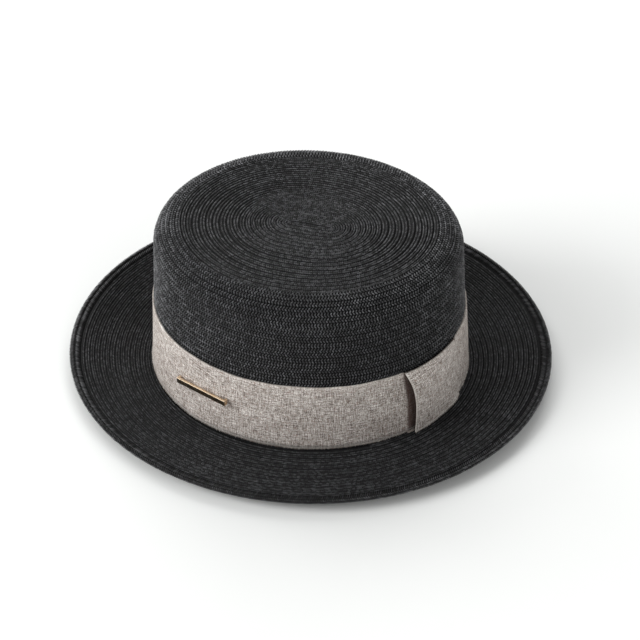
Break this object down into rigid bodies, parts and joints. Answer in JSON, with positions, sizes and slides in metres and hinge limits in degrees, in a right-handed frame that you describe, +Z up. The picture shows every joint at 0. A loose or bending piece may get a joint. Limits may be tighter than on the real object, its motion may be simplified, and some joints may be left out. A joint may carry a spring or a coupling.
{
  "type": "straw boater hat",
  "caption": "Oval flat-topped straw hat with a flat brim, a linen ribbon wrapped at one side and a thin metal bar on the ribbon.",
  "frame": {"origin": "middle of the head opening, at the level of the flat ring under the brim on which the hat rests", "axes": "+Z up through the crown, X along the head's length, the bar and the ribbon's wrap on the -Y side"},
  "size_m": [0.3078, 0.2786, 0.1115],
  "materials": {
    "straw": "black plaited paper straw, semi-matt",
    "edge_braid": "black plaited paper straw, semi-matt",
    "ribbon": "taupe slub linen, matt",
    "bar_metal": "polished pale gold"
  },
  "bodies": {
    "root": {"crown": "straw", "brim": "straw", "brim_edge": "edge_braid", "hat_band": "ribbon", "band_wrap": "ribbon", "metal_bar": "bar_metal"}
  },
  "joints": []
}
